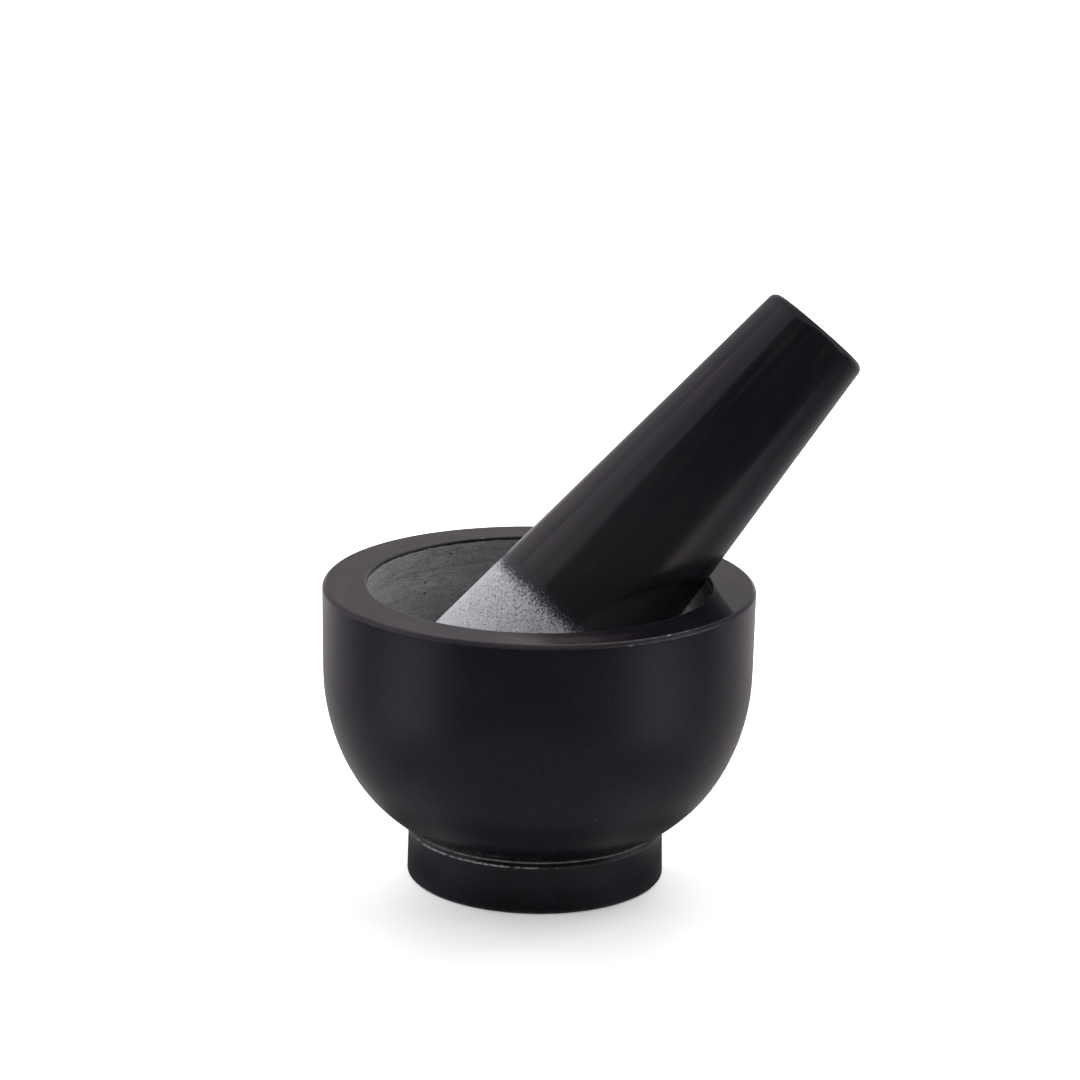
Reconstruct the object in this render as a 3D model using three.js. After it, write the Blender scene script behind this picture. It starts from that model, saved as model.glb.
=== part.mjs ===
// A turned stone mortar and its pestle.
//
// The mortar is one block of black stone: a thick-walled round bowl on a short drum foot, with a
// solid flat underside. The pestle is a second stone, a plain tapered bar with a domed grinding
// head. It leans in the bowl, with its underside on the inner edge of the rim and the heel of its
// head on the bowl's floor.
//
// Millimetres, +Z up. The origin is the centre of the foot's underside, on the mortar's axis.

import * as THREE from 'three';

// ---- Driving dimensions ----

// Mortar, outside
const RIM_RADIUS = 70;
const MORTAR_HEIGHT = 98.3;
const RIM_CHAMFER = 1.15;
const WALL_TAPER = 0.35;            // how far the plain upper wall leans in by its lower end
const SHOULDER_HEIGHT = 69.5;       // where the plain upper wall ends and the bowl starts to turn
const BELLY_RADIUS = 67.5;          // upper and larger of the two arcs of the bowl's side
const UNDERBOWL_RADIUS = 52.4;      // lower and tighter arc, down to the foot
const UNDERBOWL_START = 0.5;        // slope where the arcs meet, in radians from the vertical

// Foot
const FOOT_TOP_RADIUS = 41.6;
const FOOT_BASE_RADIUS = 41.9;
const FOOT_HEIGHT = 15.7;
const FOOT_SHOULDER_RADIUS = 40.7;  // where the bowl rises from the chamfer round the foot's top
const FOOT_EDGE = 0.8;              // chamfer round the underside

// Mortar, inside
const MOUTH_RADIUS = 56;
const MOUTH_CHAMFER = 0.5;
const CAVITY_DRAFT = 0.4;           // how far the plain inner wall leans in by its lower end
const CAVITY_WALL_DEPTH = 25;
const CAVITY_SHOULDER_RADIUS = 34;  // arc from the inner wall towards the floor
const FLOOR_RADIUS = 70;            // wide arc of the floor

// Pestle
const PESTLE_LENGTH = 177.5;
const PESTLE_TOP_RADIUS = 18.95;
const PESTLE_HEAD_RADIUS = 33.5;    // the cone's radius carried down to the level of the head's tip
const PESTLE_TOP_EDGE = 3;          // rounding of the top's edge
const PESTLE_TOP_CROWN = 0.4;       // height of the slight crown of the top
const HEEL_RADIUS = 12;             // rounding of the head's edge
const HEAD_DOME_RADIUS = 60;

// How the pestle lies in the mortar
const LEAN = THREE.MathUtils.degToRad(41.65);         // from the vertical
const LEAN_DIRECTION = THREE.MathUtils.degToRad(14.6); // from +X towards +Y
const REST_GAP = 0.3;               // clearance where the pestle touches the mortar

// Fineness of the round surfaces
const MORTAR_SEGMENTS = 72;
const PESTLE_SEGMENTS = 48;

// ---- Materials ----

const oiledStone = () => new THREE.MeshStandardMaterial({
  color: 0x1f1d20,
  roughness: 0.42,
  metalness: 0,
});

const pestleStone = () => new THREE.MeshStandardMaterial({
  color: 0x232125,
  roughness: 0.36,
  metalness: 0,
});

// ---- Outlines ----

// Points of an arc in the half-plane of a lathe outline, without its first point.
// Angles are from the outward radius, counterclockwise.
function arc(centreRadius, centreHeight, radius, from, to, steps) {
  const points = [];
  for (let i = 1; i <= steps; i += 1) {
    const angle = from + ((to - from) * i) / steps;
    points.push(new THREE.Vector2(
      centreRadius + radius * Math.cos(angle),
      centreHeight + radius * Math.sin(angle),
    ));
  }
  return points;
}

// A closed solid turned about +Z from an outline of (radius, height) points.
function turned(outline, segments) {
  const geometry = new THREE.LatheGeometry(outline, segments);
  geometry.rotateX(Math.PI / 2);
  return geometry;
}

// ---- Mortar ----

// The floor arc is centred on the axis, and the shoulder arc meets it and the inner wall smoothly.
function cavityArcs() {
  const wallEndHeight = MORTAR_HEIGHT - CAVITY_WALL_DEPTH;
  const shoulderCentreRadius = MOUTH_RADIUS - MOUTH_CHAMFER - CAVITY_DRAFT - CAVITY_SHOULDER_RADIUS;
  const centreDistance = FLOOR_RADIUS - CAVITY_SHOULDER_RADIUS;
  const rise = Math.sqrt(centreDistance ** 2 - shoulderCentreRadius ** 2);
  return {
    wallEndHeight,
    shoulderCentreRadius,
    floorCentreHeight: wallEndHeight + rise,
    meetingAngle: -Math.atan2(rise, shoulderCentreRadius),
  };
}

function mortarOutside() {
  const taperAngle = Math.atan2(WALL_TAPER, MORTAR_HEIGHT - RIM_CHAMFER - SHOULDER_HEIGHT);
  const wallFootRadius = RIM_RADIUS - WALL_TAPER;
  const bellyCentreRadius = wallFootRadius - BELLY_RADIUS * Math.cos(taperAngle);
  const bellyCentreHeight = SHOULDER_HEIGHT + BELLY_RADIUS * Math.sin(taperAngle);
  const centreShift = BELLY_RADIUS - UNDERBOWL_RADIUS;
  const underCentreRadius = bellyCentreRadius + centreShift * Math.cos(UNDERBOWL_START);
  const underCentreHeight = bellyCentreHeight - centreShift * Math.sin(UNDERBOWL_START);
  const footAngle = Math.acos((FOOT_SHOULDER_RADIUS - underCentreRadius) / UNDERBOWL_RADIUS);
  const footMeeting = new THREE.Vector2(
    FOOT_SHOULDER_RADIUS,
    underCentreHeight - UNDERBOWL_RADIUS * Math.sin(footAngle),
  );
  return [
    new THREE.Vector2(0, 0),
    new THREE.Vector2(FOOT_BASE_RADIUS - FOOT_EDGE, 0),
    new THREE.Vector2(FOOT_BASE_RADIUS, FOOT_EDGE),
    new THREE.Vector2(FOOT_TOP_RADIUS, FOOT_HEIGHT),
    footMeeting,
    ...arc(underCentreRadius, underCentreHeight, UNDERBOWL_RADIUS, -footAngle, -UNDERBOWL_START, 6),
    ...arc(bellyCentreRadius, bellyCentreHeight, BELLY_RADIUS, -UNDERBOWL_START, -taperAngle, 6),
    new THREE.Vector2(RIM_RADIUS, MORTAR_HEIGHT - RIM_CHAMFER),
    new THREE.Vector2(RIM_RADIUS - RIM_CHAMFER, MORTAR_HEIGHT),
  ];
}

function mortarInside() {
  const cavity = cavityArcs();
  const wallEndRadius = cavity.shoulderCentreRadius + CAVITY_SHOULDER_RADIUS;
  return [
    new THREE.Vector2(MOUTH_RADIUS, MORTAR_HEIGHT),
    new THREE.Vector2(MOUTH_RADIUS - MOUTH_CHAMFER, MORTAR_HEIGHT - MOUTH_CHAMFER),
    new THREE.Vector2(wallEndRadius, cavity.wallEndHeight),
    ...arc(
      cavity.shoulderCentreRadius,
      cavity.wallEndHeight,
      CAVITY_SHOULDER_RADIUS,
      0,
      cavity.meetingAngle,
      7,
    ),
    ...arc(0, cavity.floorCentreHeight, FLOOR_RADIUS, cavity.meetingAngle, -Math.PI / 2, 6),
  ];
}

function mortar() {
  const outline = [...mortarOutside(), ...mortarInside()];
  const mesh = new THREE.Mesh(turned(outline, MORTAR_SEGMENTS), oiledStone());
  mesh.name = 'mortar';
  return mesh;
}

// ---- Pestle ----

const TAPER = (PESTLE_HEAD_RADIUS - PESTLE_TOP_RADIUS) / PESTLE_LENGTH;
const TAPER_ANGLE = Math.atan(TAPER);
const coneRadius = (height) => PESTLE_HEAD_RADIUS - TAPER * height;

// Centre of the heel arc, which meets the cone and the domed end smoothly. It is HEEL_RADIUS
// inside the cone and HEAD_DOME_RADIUS - HEEL_RADIUS from the dome's centre on the axis.
function heelCentre() {
  const inset = PESTLE_HEAD_RADIUS - HEEL_RADIUS / Math.cos(TAPER_ANGLE);
  const reach = HEAD_DOME_RADIUS - HEEL_RADIUS;
  const a = 1 + TAPER ** 2;
  const b = -2 * (HEAD_DOME_RADIUS + TAPER * inset);
  const c = HEAD_DOME_RADIUS ** 2 + inset ** 2 - reach ** 2;
  const height = (-b - Math.sqrt(b ** 2 - 4 * a * c)) / (2 * a);
  return new THREE.Vector2(inset - TAPER * height, height);
}

function pestleOutline() {
  const heel = heelCentre();
  const domeAngle = Math.atan2(heel.y - HEAD_DOME_RADIUS, heel.x);
  const edgeHeight = PESTLE_LENGTH - PESTLE_TOP_CROWN - PESTLE_TOP_EDGE;
  const edgeRadius = coneRadius(edgeHeight) - PESTLE_TOP_EDGE / Math.cos(TAPER_ANGLE);
  return [
    new THREE.Vector2(0, 0),
    ...arc(0, HEAD_DOME_RADIUS, HEAD_DOME_RADIUS, -Math.PI / 2, domeAngle, 4),
    ...arc(heel.x, heel.y, HEEL_RADIUS, domeAngle, TAPER_ANGLE, 6),
    ...arc(edgeRadius, edgeHeight, PESTLE_TOP_EDGE, TAPER_ANGLE, Math.PI / 2, 4),
    new THREE.Vector2(edgeRadius / 2, PESTLE_LENGTH - PESTLE_TOP_CROWN / 4),
    new THREE.Vector2(0, PESTLE_LENGTH),
  ];
}

// Where the head's tip lies in the vertical plane of the lean, as (distance from the mortar's
// axis, height). The cone's underside clears the mouth's edge by REST_GAP, and the heel arc
// clears the floor arc by REST_GAP.
function tipInLeanPlane() {
  const up = new THREE.Vector2(Math.sin(LEAN), Math.cos(LEAN));
  const under = new THREE.Vector2(Math.cos(LEAN), -Math.sin(LEAN));
  const edge = new THREE.Vector2(MOUTH_RADIUS - MOUTH_CHAMFER, MORTAR_HEIGHT - MOUTH_CHAMFER);
  const heel = heelCentre();
  const edgeOffset = PESTLE_HEAD_RADIUS + REST_GAP / Math.cos(TAPER_ANGLE);

  // The tip slides along one line while the underside stays at the mouth's edge: it is
  // start + slide * v, with v the height of the edge along the pestle.
  const start = edge.clone().addScaledVector(under, -edgeOffset);
  const slide = under.clone().multiplyScalar(TAPER).sub(up);

  // The heel's centre keeps its distance from the floor arc's centre.
  const floorCentre = new THREE.Vector2(0, cavityArcs().floorCentreHeight);
  const fromFloorCentre = start.clone()
    .addScaledVector(up, heel.y)
    .addScaledVector(under, heel.x)
    .sub(floorCentre);
  const distance = FLOOR_RADIUS - HEEL_RADIUS - REST_GAP;
  const a = slide.dot(slide);
  const b = 2 * slide.dot(fromFloorCentre);
  const c = fromFloorCentre.dot(fromFloorCentre) - distance ** 2;
  const v = (-b + Math.sqrt(b ** 2 - 4 * a * c)) / (2 * a);
  return start.addScaledVector(slide, v);
}

function pestle() {
  const mesh = new THREE.Mesh(turned(pestleOutline(), PESTLE_SEGMENTS), pestleStone());
  mesh.name = 'pestle';
  const tip = tipInLeanPlane();
  mesh.position.set(
    tip.x * Math.cos(LEAN_DIRECTION),
    tip.x * Math.sin(LEAN_DIRECTION),
    tip.y,
  );
  mesh.rotation.set(0, LEAN, LEAN_DIRECTION, 'ZYX');
  return mesh;
}

const mortarAndPestle = new THREE.Group();
mortarAndPestle.name = 'mortar_and_pestle';
mortarAndPestle.add(mortar(), pestle());

export default mortarAndPestle;
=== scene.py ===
"""Looks of the stone mortar and its pestle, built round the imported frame.

Both pieces are turned stone. Each is a fine mesh turned from the same outline as its CAD solid,
with the marks of work and use in the mesh itself: turning grooves, chipped edges and pits. The
pieces' own sizes are in millimetres, like the CAD part's. The meshes, materials, stage and camera
are in metres.
"""

import math

import bpy
import numpy as np
from mathutils import Matrix, Vector, noise


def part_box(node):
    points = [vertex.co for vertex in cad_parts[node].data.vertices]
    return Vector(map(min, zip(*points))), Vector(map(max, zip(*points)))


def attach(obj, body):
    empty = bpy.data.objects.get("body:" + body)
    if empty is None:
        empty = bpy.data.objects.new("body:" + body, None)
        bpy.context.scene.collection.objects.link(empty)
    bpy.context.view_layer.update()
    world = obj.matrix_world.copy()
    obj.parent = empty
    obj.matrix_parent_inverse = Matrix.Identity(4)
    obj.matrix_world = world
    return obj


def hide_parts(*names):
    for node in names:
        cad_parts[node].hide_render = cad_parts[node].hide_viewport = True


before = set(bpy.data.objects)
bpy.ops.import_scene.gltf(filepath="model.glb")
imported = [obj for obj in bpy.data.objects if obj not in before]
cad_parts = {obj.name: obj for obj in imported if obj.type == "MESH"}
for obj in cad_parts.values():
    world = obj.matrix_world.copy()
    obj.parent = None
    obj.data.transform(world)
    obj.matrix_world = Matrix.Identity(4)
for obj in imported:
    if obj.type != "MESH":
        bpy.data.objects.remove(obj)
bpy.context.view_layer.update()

MM = 0.001

# ---- Sizes of the CAD part, in millimetres ----

_, mortar_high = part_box("mortar")
RIM_RADIUS = mortar_high.x / MM
MORTAR_HEIGHT = mortar_high.z / MM
RIM_CHAMFER = 1.15
WALL_TAPER = 0.35              # how far the plain upper wall leans in by its lower end
SHOULDER_HEIGHT = 69.5         # where the plain upper wall ends and the bowl starts to turn
BELLY_RADIUS = 67.5            # upper and larger of the two arcs of the bowl's side
UNDERBOWL_RADIUS = 52.4        # lower and tighter arc, down to the foot
UNDERBOWL_START = 0.5          # slope where the arcs meet, in radians from the vertical
FOOT_TOP_RADIUS = 41.6
FOOT_BASE_RADIUS = 41.9
FOOT_HEIGHT = 15.7
FOOT_SHOULDER_RADIUS = 40.7    # where the bowl rises from the chamfer round the foot's top
FOOT_EDGE = 0.8                # chamfer round the underside
MOUTH_RADIUS = 56.0
MOUTH_CHAMFER = 0.5
CAVITY_DRAFT = 0.4             # how far the plain inner wall leans in by its lower end
CAVITY_WALL_DEPTH = 25.0
CAVITY_SHOULDER_RADIUS = 34.0  # arc from the inner wall towards the floor
FLOOR_RADIUS = 70.0            # wide arc of the floor

PESTLE_TOP_RADIUS = 18.95
PESTLE_HEAD_RADIUS = 33.5      # the cone's radius carried down to the level of the head's tip
PESTLE_TOP_EDGE = 3.0          # rounding of the top's edge
PESTLE_TOP_CROWN = 0.4         # height of the slight crown of the top
HEEL_RADIUS = 12.0             # rounding of the head's edge
HEAD_DOME_RADIUS = 60.0

# ---- Fineness of the meshes ----

MORTAR_SEGMENTS = 360
PESTLE_SEGMENTS = 300
FACET_ALLOWANCE = 0.05         # keeps the round pestle inside its faceted CAD solid
FINE_STEP = 0.13               # the mortar's outline by an edge
PLAIN_STEP = 1.4               # the mortar's outline away from the edges
CAVITY_STEP = 0.8              # fine enough for the cavity's turning grooves
PESTLE_STEP = 0.8
TOP_EDGE_STEP = 0.4
TOP_RINGS = 12                 # rings of the pestle's crowned top
STEP_GROWTH = 1.5              # how fast the steps grow away from an edge
EDGE_SMOOTHING = 5             # rounds of smoothing that soften the mortar's corners

FRONT = math.radians(-90)      # the side towards the camera, as an angle from +X


# ---- Outlines ----

def graded(length, fine_start, fine_end, coarse):
    """Shares of a length, with steps that grow from fine at its ends to coarse in the middle."""
    def walk(step):
        marks, here = [0.0], 0.0
        while here < length:
            here += min(step, coarse)
            step *= STEP_GROWTH
            marks.append(here)
        return marks
    forward = [m for m in walk(fine_start) if m < length / 2]
    backward = [length - m for m in walk(fine_end) if m < length / 2]
    marks = forward + backward[::-1]
    return np.array(marks[:-1]) / length


def straight(start, end, fine_start=FINE_STEP, fine_end=FINE_STEP, coarse=1.6):
    """Points from start to end, without the end."""
    start, end = np.array(start, float), np.array(end, float)
    share = graded(float(np.linalg.norm(end - start)), fine_start, fine_end, coarse)
    return start + share[:, None] * (end - start)


def turn(centre, radius, start, end, fine_start=PLAIN_STEP, fine_end=PLAIN_STEP,
         coarse=PLAIN_STEP):
    """Points along an arc, without its end. Angles are from the outward radius."""
    share = graded(radius * abs(end - start), fine_start, fine_end, coarse)
    angle = start + share * (end - start)
    return np.stack([centre[0] + radius * np.cos(angle), centre[1] + radius * np.sin(angle)], 1)


def eased(outline, passes):
    """Rounds the corners of an outline. The two ends stay on the axis."""
    for _ in range(passes):
        outline[1:-1] = outline[1:-1] / 2 + (outline[:-2] + outline[2:]) / 4
    return outline


def joined(stretches, end):
    """One outline, with the arc length at which each stretch starts."""
    outline = np.concatenate([*stretches, [end]])
    steps = np.linalg.norm(np.diff(outline, axis=0), axis=1)
    along = np.concatenate([[0.0], np.cumsum(steps)])
    starts = along[np.cumsum([0] + [len(s) for s in stretches[:-1]])]
    return outline, along, starts


def mortar_outline():
    """The mortar's half section from the underside's middle round to the cavity floor's middle."""
    taper = math.atan2(WALL_TAPER, MORTAR_HEIGHT - RIM_CHAMFER - SHOULDER_HEIGHT)
    belly = (
        RIM_RADIUS - WALL_TAPER - BELLY_RADIUS * math.cos(taper),
        SHOULDER_HEIGHT + BELLY_RADIUS * math.sin(taper),
    )
    shift = BELLY_RADIUS - UNDERBOWL_RADIUS
    under = (
        belly[0] + shift * math.cos(UNDERBOWL_START),
        belly[1] - shift * math.sin(UNDERBOWL_START),
    )
    foot_angle = math.acos((FOOT_SHOULDER_RADIUS - under[0]) / UNDERBOWL_RADIUS)
    foot_meeting = (FOOT_SHOULDER_RADIUS, under[1] - UNDERBOWL_RADIUS * math.sin(foot_angle))

    wall_end = MORTAR_HEIGHT - CAVITY_WALL_DEPTH
    shoulder = (MOUTH_RADIUS - MOUTH_CHAMFER - CAVITY_DRAFT - CAVITY_SHOULDER_RADIUS, wall_end)
    rise = math.sqrt((FLOOR_RADIUS - CAVITY_SHOULDER_RADIUS) ** 2 - shoulder[0] ** 2)
    floor = (0.0, wall_end + rise)
    meeting = -math.atan2(rise, shoulder[0])

    corners = [
        (0.0, 0.0),
        (FOOT_BASE_RADIUS - FOOT_EDGE, 0.0),
        (FOOT_BASE_RADIUS, FOOT_EDGE),
        (FOOT_TOP_RADIUS, FOOT_HEIGHT),
        foot_meeting,
        (RIM_RADIUS - WALL_TAPER, SHOULDER_HEIGHT),
        (RIM_RADIUS, MORTAR_HEIGHT - RIM_CHAMFER),
        (RIM_RADIUS - RIM_CHAMFER, MORTAR_HEIGHT),
        (MOUTH_RADIUS, MORTAR_HEIGHT),
        (MOUTH_RADIUS - MOUTH_CHAMFER, MORTAR_HEIGHT - MOUTH_CHAMFER),
        (MOUTH_RADIUS - MOUTH_CHAMFER - CAVITY_DRAFT, wall_end),
    ]
    stretches = {
        "underside": straight(corners[0], corners[1], fine_start=3.0, coarse=4.0),
        "foot_edge": straight(corners[1], corners[2]),
        "foot_wall": straight(corners[2], corners[3]),
        "foot_shoulder": straight(corners[3], corners[4]),
        "underbowl": turn(under, UNDERBOWL_RADIUS, -foot_angle, -UNDERBOWL_START,
                          fine_start=FINE_STEP),
        "belly": turn(belly, BELLY_RADIUS, -UNDERBOWL_START, -taper),
        "wall": straight(corners[5], corners[6], fine_start=PLAIN_STEP),
        "rim_chamfer": straight(corners[6], corners[7]),
        "rim": straight(corners[7], corners[8]),
        "mouth": straight(corners[8], corners[9]),
        "inner_wall": straight(corners[9], corners[10], fine_end=CAVITY_STEP, coarse=CAVITY_STEP),
        "cavity_shoulder": turn(shoulder, CAVITY_SHOULDER_RADIUS, 0, meeting,
                                CAVITY_STEP, CAVITY_STEP, CAVITY_STEP),
        "floor": turn(floor, FLOOR_RADIUS, meeting, -math.pi / 2,
                      CAVITY_STEP, CAVITY_STEP, coarse=0.9),
    }
    outline, along, starts = joined(list(stretches.values()), (0.0, floor[1] - FLOOR_RADIUS))
    return eased(outline, EDGE_SMOOTHING), along, dict(zip(stretches, starts))


def pestle_outline(length):
    """The pestle's half section from the head's tip up to the middle of its top."""
    taper = (PESTLE_HEAD_RADIUS - PESTLE_TOP_RADIUS) / length
    slope = math.atan(taper)
    inset = PESTLE_HEAD_RADIUS - HEEL_RADIUS / math.cos(slope)
    reach = HEAD_DOME_RADIUS - HEEL_RADIUS
    # The heel's arc touches both the cone and the dome: its centre's height solves a quadratic.
    a = 1 + taper ** 2
    b = -2 * (HEAD_DOME_RADIUS + taper * inset)
    c = HEAD_DOME_RADIUS ** 2 + inset ** 2 - reach ** 2
    heel_height = (-b - math.sqrt(b * b - 4 * a * c)) / (2 * a)
    heel = (inset - taper * heel_height, heel_height)
    dome_angle = math.atan2(heel[1] - HEAD_DOME_RADIUS, heel[0])
    edge_height = length - PESTLE_TOP_CROWN - PESTLE_TOP_EDGE
    edge = (
        PESTLE_HEAD_RADIUS - taper * edge_height - PESTLE_TOP_EDGE / math.cos(slope),
        edge_height,
    )
    cone_start = (
        heel[0] + HEEL_RADIUS * math.cos(slope),
        heel[1] + HEEL_RADIUS * math.sin(slope),
    )
    cone_end = (
        edge[0] + PESTLE_TOP_EDGE * math.cos(slope),
        edge[1] + PESTLE_TOP_EDGE * math.sin(slope),
    )
    share = np.linspace(1, 0, TOP_RINGS)[:-1]
    top = np.stack([edge[0] * share, length - PESTLE_TOP_CROWN * share ** 2], 1)
    stretches = [
        turn((0, HEAD_DOME_RADIUS), HEAD_DOME_RADIUS, -math.pi / 2, dome_angle, 0.9, 0.9, 0.9),
        turn(heel, HEEL_RADIUS, dome_angle, slope, PESTLE_STEP, PESTLE_STEP, PESTLE_STEP),
        straight(cone_start, cone_end, PESTLE_STEP, TOP_EDGE_STEP, PESTLE_STEP),
        turn(edge, PESTLE_TOP_EDGE, slope, math.pi / 2, TOP_EDGE_STEP, TOP_EDGE_STEP,
             TOP_EDGE_STEP),
        top,
    ]
    outline, along, _ = joined(stretches, (0.0, length))
    return outline, along


# ---- Turned meshes ----

def normals_of(outline):
    """Outward normals of an outline that runs counterclockwise round its solid."""
    tangent = np.gradient(outline, axis=0)
    tangent /= np.linalg.norm(tangent, axis=1)[:, None]
    return np.stack([tangent[:, 1], -tangent[:, 0]], 1)


def turned_mesh(name, outline, lift, segments, place):
    """A closed mesh turned about +Z from an outline in millimetres, and then moved by place.

    lift is how far each point of the rings stands out along the outline's normal.
    """
    normal = normals_of(outline)
    angle = np.linspace(0, 2 * math.pi, segments, endpoint=False)
    radius = outline[1:-1, 0, None] + normal[1:-1, 0, None] * lift
    height = outline[1:-1, 1, None] + normal[1:-1, 1, None] * lift
    rings = np.stack([radius * np.cos(angle), radius * np.sin(angle), height], 2)
    count = len(rings)
    poles = np.array([[0, 0, outline[0, 1]], [0, 0, outline[-1, 1]]])
    points = np.concatenate([rings.reshape(-1, 3), poles]) * MM
    first, last = count * segments, count * segments + 1

    here = np.arange(segments)
    after = (here + 1) % segments
    low = (np.arange(count - 1) * segments)[:, None]
    quads = np.stack([low + here, low + after, low + segments + after, low + segments + here], 2)
    faces = quads.reshape(-1, 4).tolist()
    faces += [(first, int(b), int(a)) for a, b in zip(here, after)]
    top = (count - 1) * segments
    faces += [(last, int(top + a), int(top + b)) for a, b in zip(here, after)]

    mesh = bpy.data.meshes.new(name)
    mesh.from_pydata(points.tolist(), [], faces)
    mesh.transform(place)
    mesh.shade_smooth()
    piece = bpy.data.objects.new(name, mesh)
    bpy.context.scene.collection.objects.link(piece)
    return piece


def set_attribute(piece, name, rings, poles):
    """Stores one number per point: an array for the rings, and the two poles' values."""
    values = np.concatenate([rings.ravel(), poles]).astype(np.float32)
    piece.data.attributes.new(name, "FLOAT", "POINT").data.foreach_set("value", values)


def ring_noise(outline, segments, scale, seed):
    """Smooth noise from -1 to 1 on the rings, by place in space; scale is in millimetres."""
    offset = Vector((seed * 7.1, seed * 3.7, seed * 5.3))
    angle = np.linspace(0, 2 * math.pi, segments, endpoint=False)
    cosine, sine = np.cos(angle) / scale, np.sin(angle) / scale
    values = np.empty((len(outline) - 2, segments))
    for row, (radius, height) in enumerate(outline[1:-1]):
        for column in range(segments):
            spot = Vector((radius * cosine[column], radius * sine[column], height / scale))
            values[row, column] = noise.noise(spot + offset)
    return values


def round_noise(segments, cell, radius, seed):
    """Noise from -1 to 1 round a circle of that radius; cell is its grain in millimetres."""
    angle = np.linspace(0, 2 * math.pi, segments, endpoint=False)
    reach = radius / cell
    return np.array([
        noise.noise(Vector((reach * math.cos(a), reach * math.sin(a), seed * 11.3)))
        for a in angle
    ])


def smoothstep(low, high, value):
    share = np.clip((value - low) / (high - low), 0, 1)
    return share * share * (3 - 2 * share)


def near(angle, centre, spread):
    """1 at centre, falling to 0 at spread away from it, round the circle."""
    apart = np.abs((angle - centre + math.pi) % (2 * math.pi) - math.pi)
    return smoothstep(spread, 0, apart)


# ---- Mortar ----

LIP_DEPTH = 0.45               # how far the oiled finish runs down inside the mouth, in mm
OUTSIDE_WANDER = 0.05          # how far the hand-finished outside is from true, in mm
WANDER_LENGTH = 34             # and over what distance it wanders
GROOVE_DEPTH = 0.05            # the turning tool's grooves in the cavity, in mm
GROOVE_PITCH = 1.9
CAVITY_RIPPLE = 0.03           # the cavity's unevenness round each groove, in mm
RIPPLE_LENGTH = 5

RIM_ROUGHNESS = 0.19
RUBBED_SMOOTHER = 0.14         # how much smoother the rim is where hands have rubbed it
SMEARED, FRONT_SHEEN = 0.24, 0.60  # share of the rim's finish smeared all round, and strength of the pale sheen painted along the rim's outer part at the front

# Small pits: (degrees from the front, outline stretch, distance along it, radius, depth), in mm.
MORTAR_PITS = [
    (-23, "foot_wall", 8.7, 0.55, 0.25),
    (-13, "foot_wall", 11.7, 0.40, 0.15),
    (3, "foot_wall", 2.7, 0.40, 0.15),
    (-56, "foot_wall", 7.7, 0.50, 0.20),
    (-27, "underbowl", 21.0, 0.60, 0.15),
    (-55, "belly", 30.0, 0.80, 0.20),
    (64, "wall", 14.0, 0.50, 0.12),
    (128, "belly", 20.0, 0.90, 0.25),
    (-140, "wall", 11.0, 0.80, 0.20),
    (171, "foot_wall", 6.0, 0.80, 0.25),
]


def around_front(angle, degrees, spread):
    """1 at that many degrees to the right of the front, falling to 0 at spread degrees from it."""
    return near(angle, FRONT + math.radians(degrees), math.radians(spread))


def knocked_edge(angle):
    """The stretch of the rim's outer edge that has been knocked and rubbed most."""
    return around_front(angle, 33, 27)


def mortar_form(outline, along, starts):
    """The wandering surface of the outside, and the turning grooves of the cavity."""
    s = along[1:-1, None]
    wander = OUTSIDE_WANDER * (ring_noise(outline, MORTAR_SEGMENTS, WANDER_LENGTH, 1) - 1)
    wander = np.where(s < starts["foot_edge"], 0, wander)
    grooves = [noise.noise(Vector((v / GROOVE_PITCH, 0.5, 4.2))) for v in along[1:-1]]
    ripple = ring_noise(outline, MORTAR_SEGMENTS, RIPPLE_LENGTH, 2)
    turned = GROOVE_DEPTH * np.array(grooves)[:, None] + CAVITY_RIPPLE * ripple
    return wander + smoothstep(starts["mouth"], starts["inner_wall"], s) * turned


def edge_chips(angle, radius, seed, cell, cover):
    """How strongly the edge is chipped round its circle, from 0 to 1."""
    coarse = round_noise(len(angle), cell, radius, seed)
    fine = round_noise(len(angle), cell / 4, radius, seed + 1)
    return smoothstep(0.0, 0.3, 0.7 * coarse + 0.6 * fine + cover)


def mortar_chips(angle, s, starts):
    """How strongly each point of the rings is chipped, from 0 to 1, and how deep, in mm."""
    left_front = np.minimum(1.7 * around_front(angle, -30, 56), 1)
    knocked = knocked_edge(angle)
    rim_nick = around_front(angle, 36, 1.8)
    mouth_nick = around_front(angle, -159, 2.2)
    # (outline stretch, its start's radius, chips' width, depth and length, cover, seed)
    edges = [
        ("foot_shoulder", FOOT_TOP_RADIUS, 0.14, 0.07, 5.0, -0.50 + 0.95 * left_front, 3),
        ("underbowl", FOOT_SHOULDER_RADIUS, 0.12, 0.03, 3.0, -0.60 + 0.20 * left_front, 4),
        ("rim_chamfer", RIM_RADIUS, 0.15, 0.05, 4.0, -0.66 + 0.28 * knocked, 5),
        ("rim", RIM_RADIUS - RIM_CHAMFER, 0.15, 0.07, 4.0,
         -0.64 + 0.34 * knocked + 0.7 * rim_nick, 6),
        ("mouth", MOUTH_RADIUS, 0.22, 0.10, 3.0, -0.60 + 1.2 * mouth_nick, 7),
    ]
    chips = np.zeros((len(s), len(angle)))
    depth = np.zeros_like(chips)
    for name, radius, width, deepest, cell, cover, seed in edges:
        strength = edge_chips(angle, radius, seed, cell, cover)
        reach = np.exp(-((s - starts[name]) / width) ** 2)
        chips = np.maximum(chips, reach * strength)
        depth += deepest * reach * strength
    return chips, depth


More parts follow.
